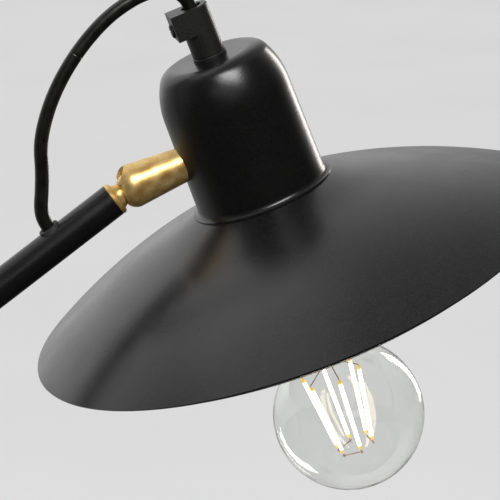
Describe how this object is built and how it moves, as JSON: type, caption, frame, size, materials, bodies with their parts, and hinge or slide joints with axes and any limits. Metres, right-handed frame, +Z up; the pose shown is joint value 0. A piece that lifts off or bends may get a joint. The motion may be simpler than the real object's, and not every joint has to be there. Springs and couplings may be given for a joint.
{
  "type": "adjustable arm floor lamp",
  "caption": "Floor lamp with a tilting arm on a round-footed pole, a wide dish shade on a brass ball swivel, a clear globe bulb and a looped cord.",
  "frame": {"origin": "on the floor under the centre of the round foot", "axes": "+Z up along the pole, +X from the pole towards the lamp head; the plane y = 0 holds the pole, the arm and the head"},
  "size_m": [0.7068, 0.2838, 1.5356],
  "materials": {
    "satin_black": "satin powder coat",
    "shade_black": "satin powder coat",
    "underside_black": "satin powder coat",
    "cast_iron": "raw casting",
    "rubber_black": "matte",
    "brass": "satin lacquered",
    "zinc_steel": "zinc plated",
    "black_steel": "black oxide",
    "screw_black": "black oxide",
    "plastic_black": "matte",
    "grip_black": "matte moulded",
    "nylon": "natural",
    "thermoset": "pressed thermoset",
    "porcelain": "glazed",
    "nickel_cap": "nickel plated",
    "solder": "tinned",
    "black_glass": "vitrite",
    "clear_glass": "clear",
    "stem_glass": "clear",
    "support_wire": "drawn wire",
    "cord_black": "satin sheath",
    "led_filament": "phosphor coat"
  },
  "bodies": {
    "stand": {"base_pad": "rubber_black", "base_weight": "cast_iron", "base_cover": "satin_black", "cable_bush": "plastic_black", "base_nipple": "zinc_steel", "base_washer": "zinc_steel", "base_nut": "zinc_steel", "foot_collar": "satin_black", "foot_plug": "zinc_steel", "pole_lower": "satin_black", "pole_joiner": "zinc_steel", "pole_upper": "satin_black", "pole_bush": "nylon"},
    "yoke": {"yoke": "satin_black", "yoke_clip": "zinc_steel", "tilt_bolt": "black_steel", "knob_washer": "black_steel"},
    "knob": {"lock_knob": "brass"},
    "arm": {"friction_washer_front": "nylon", "friction_washer_back": "nylon", "arm_drum": "satin_black", "arm_tube": "satin_black", "cord_grommet": "rubber_black", "swivel_stem": "brass", "cord_arm_side": "cord_black"},
    "liner": {"ball_liner": "nylon"},
    "head": {"swivel_barrel": "brass", "thrust_cup": "nylon", "disc_spring": "zinc_steel", "barrel_plug": "zinc_steel", "barrel_spacer": "plastic_black", "saddle_washer": "zinc_steel", "stud_nut": "zinc_steel", "socket_cup": "satin_black", "upper_shade": "shade_black", "lower_shade": "underside_black", "threaded_tube": "zinc_steel", "cup_nut": "zinc_steel", "grip_collar": "plastic_black", "cord_grip": "grip_black", "grip_screw": "screw_black", "grip_pad": "nylon", "holder_cap": "thermoset", "holder_body": "thermoset", "shade_ring": "thermoset", "holder_insert": "porcelain", "thread_shell": "brass", "centre_contact": "brass", "bulb_cap": "nickel_cap", "cap_insulator": "black_glass", "bulb_contact": "solder", "bulb_glass": "clear_glass", "bulb_stem": "stem_glass", "filaments": "led_filament", "filament_wires": "support_wire", "cord_head_side": "cord_black"}
  },
  "joints": [
    {"name": "arm_pan", "type": "hinge", "parent": "stand", "child": "yoke", "pos_m": [0, 0, 1.15], "axis": [0, 0, 1], "range_deg": [-170, 170]},
    {"name": "knob_turn", "type": "hinge", "parent": "yoke", "child": "knob", "pos_m": [0, 0, 1.18], "axis": [0, -1, 0], "range_deg": [-120, 120]},
    {"name": "arm_tilt", "type": "hinge", "parent": "yoke", "child": "arm", "pos_m": [0, 0, 1.18], "axis": [0, -1, 0], "range_deg": [-56, 40]},
    {"name": "head_twist", "type": "hinge", "parent": "arm", "child": "liner", "pos_m": [0.34788, 0, 1.43275], "axis": [0.809, 0, 0.5878], "range_deg": [-60, 60], "deforming": ["cord_arm_side"]},
    {"name": "head_tilt", "type": "hinge", "parent": "liner", "child": "head", "pos_m": [0.34788, 0, 1.43275], "axis": [0, -1, 0], "range_deg": [-2, 45], "deforming": ["cord_head_side"]}
  ]
}
